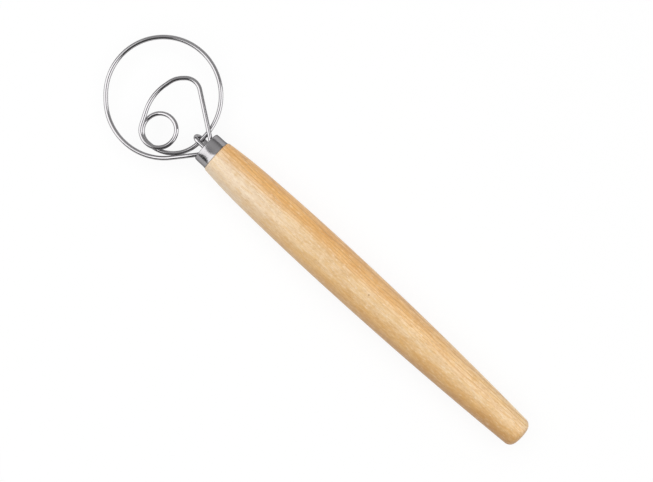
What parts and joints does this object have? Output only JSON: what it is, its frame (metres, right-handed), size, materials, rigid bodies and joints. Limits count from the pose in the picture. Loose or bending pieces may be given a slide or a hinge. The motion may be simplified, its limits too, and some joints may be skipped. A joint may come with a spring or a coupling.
{
  "type": "dough whisk",
  "caption": "Hand whisk for stiff dough: a flat looped steel wire head on a turned wooden handle with a steel ferrule.",
  "frame": {"origin": "centre of the flat butt end of the handle", "axes": "+X along the handle to the wire head, the head lies flat in the XY plane, +Z out of its upper side"},
  "size_m": [0.3439, 0.0767, 0.0286],
  "materials": {
    "wood": "satin",
    "ferrule_steel": "polished",
    "wire_steel": "polished",
    "resin": "gloss"
  },
  "bodies": {
    "root": {"handle": "wood", "ferrule": "ferrule_steel", "whisk_wire": "wire_steel", "wire_eye": "wire_steel", "resin_plug": "resin"}
  },
  "joints": []
}
